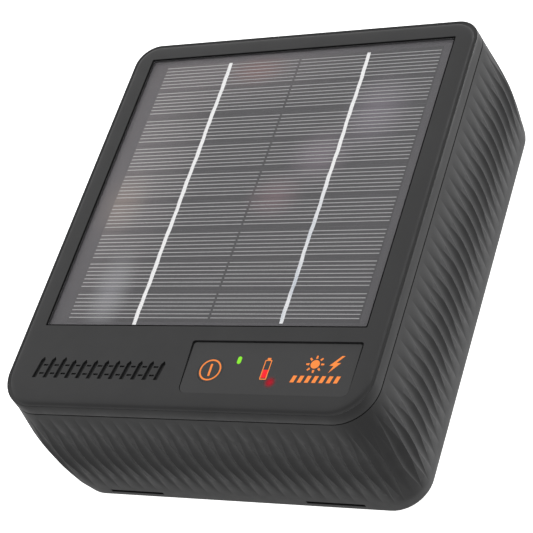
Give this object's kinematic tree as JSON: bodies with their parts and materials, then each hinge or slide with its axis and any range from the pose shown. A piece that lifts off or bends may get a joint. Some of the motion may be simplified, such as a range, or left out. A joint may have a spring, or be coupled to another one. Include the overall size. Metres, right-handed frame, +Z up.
{
  "type": "fence energizer",
  "caption": "Box-shaped solar fence energizer: solar panel and control label on top, fluted case, and fence and earth terminals in bays underneath.",
  "frame": {"origin": "middle of the bounding box, on the surface the case rests on", "axes": "+Z up through the solar panel, +Y from the control label towards the back edge, +X to the right when the label faces the viewer"},
  "size_m": [0.1594, 0.1812, 0.063],
  "materials": {
    "case_plastic": "fine moulded texture, charcoal",
    "laminate": "clear, slightly glossy encapsulant",
    "silicon": "grey monocrystalline cell with fine silver fingers",
    "backsheet": "dark grey backing board",
    "tinned_copper": "bright tinned ribbon",
    "label_film": "satin printed film, charcoal with orange symbols",
    "button_rubber": "satin, charcoal with an orange ring",
    "green_lens": "lit green light pipe",
    "red_lens": "lit red light pipe",
    "circuit_board": "green solder resist",
    "chip_black": "black moulded epoxy",
    "switch_metal": "bright stamped steel",
    "seal_rubber": "dull black",
    "capacitor_case": "blue moulded case",
    "core_steel": "laminated steel",
    "bobbin_nylon": "natural nylon",
    "winding_copper": "enamelled copper wire",
    "cell_wrap": "blue shrink wrap over a metal can",
    "cradle_plastic": "dark grey moulding",
    "nickel_strip": "nickel",
    "screw_steel": "zinc plated",
    "terminal_brass": "turned brass",
    "red_knob": "red moulding",
    "green_knob": "green moulding",
    "red_wire": "red PVC",
    "black_wire": "black PVC",
    "yellow_wire": "yellow high-voltage silicone"
  },
  "bodies": {
    "housing": {"rear_case": "case_plastic", "top_cover": "case_plastic", "solar_laminate": "laminate", "solar_backing": "backsheet", "bus_ribbon_left": "tinned_copper", "bus_ribbon_right": "tinned_copper", "control_label": "label_film", "tact_switch": "switch_metal", "status_light_pipe": "green_lens", "low_light_pipe": "red_lens", "status_led": "green_lens", "low_led": "red_lens", "control_board": "circuit_board", "control_lead": "black_wire", "seal_gasket": "seal_rubber", "main_board": "circuit_board", "storage_capacitor": "capacitor_case", "microcontroller": "chip_black", "thyristor": "chip_black", "filter_capacitor": "chip_black", "charge_inductor": "winding_copper", "transformer_core": "core_steel", "transformer_bobbin": "bobbin_nylon", "transformer_winding": "winding_copper", "battery_cradle": "cradle_plastic", "battery_cell_1": "cell_wrap", "battery_cell_2": "cell_wrap", "nickel_strap_1": "nickel_strip", "nickel_strap_2": "nickel_strip", "battery_lead_positive": "red_wire", "battery_lead_negative": "black_wire", "solar_lead_positive": "red_wire", "solar_lead_negative": "black_wire", "fence_lead": "yellow_wire", "earth_lead": "black_wire", "fence_stud": "terminal_brass", "earth_stud": "terminal_brass", "solar_cell_1": "silicon", "solar_cell_2": "silicon", "solar_cell_3": "silicon", "solar_cell_4": "silicon", "solar_cell_5": "silicon", "solar_cell_6": "silicon", "solar_cell_7": "silicon", "solar_cell_8": "silicon", "solar_cell_9": "silicon", "board_screw_1": "screw_steel", "case_screw_1": "screw_steel", "board_screw_2": "screw_steel", "case_screw_2": "screw_steel", "board_screw_3": "screw_steel", "case_screw_3": "screw_steel", "board_screw_4": "screw_steel", "case_screw_4": "screw_steel"},
    "power_button_body": {"power_button": "button_rubber", "switch_plunger": "chip_black"},
    "fence_clamp": {"fence_washer": "screw_steel"},
    "fence_knob_body": {"fence_knob": "red_knob"},
    "earth_clamp": {"earth_washer": "screw_steel"},
    "earth_knob_body": {"earth_knob": "green_knob"}
  },
  "joints": [
    {"name": "power_button_press", "type": "slide", "parent": "housing", "child": "power_button_body", "axis": [0, 0, -1], "range_m": [0, 0.0008], "stiffness_N_per_m": 1500},
    {"name": "fence_clamp_travel", "type": "slide", "parent": "housing", "child": "fence_clamp", "axis": [0, 0, -1], "range_m": [0, 0.004]},
    {"name": "fence_knob_turn", "type": "hinge", "parent": "fence_clamp", "child": "fence_knob_body", "pos_m": [0.0436, -0.06, 0.009], "axis": [0, 0, -1], "range_deg": [0, 1800]},
    {"name": "earth_clamp_travel", "type": "slide", "parent": "housing", "child": "earth_clamp", "axis": [0, 0, -1], "range_m": [0, 0.004]},
    {"name": "earth_knob_turn", "type": "hinge", "parent": "earth_clamp", "child": "earth_knob_body", "pos_m": [-0.0436, -0.06, 0.009], "axis": [0, 0, -1], "range_deg": [0, 1800]}
  ],
  "couplings": [
    {"joint": "fence_knob_turn", "follows": "fence_clamp_travel", "rad_per_m": 7853.9},
    {"joint": "earth_knob_turn", "follows": "earth_clamp_travel", "rad_per_m": 7853.9}
  ]
}
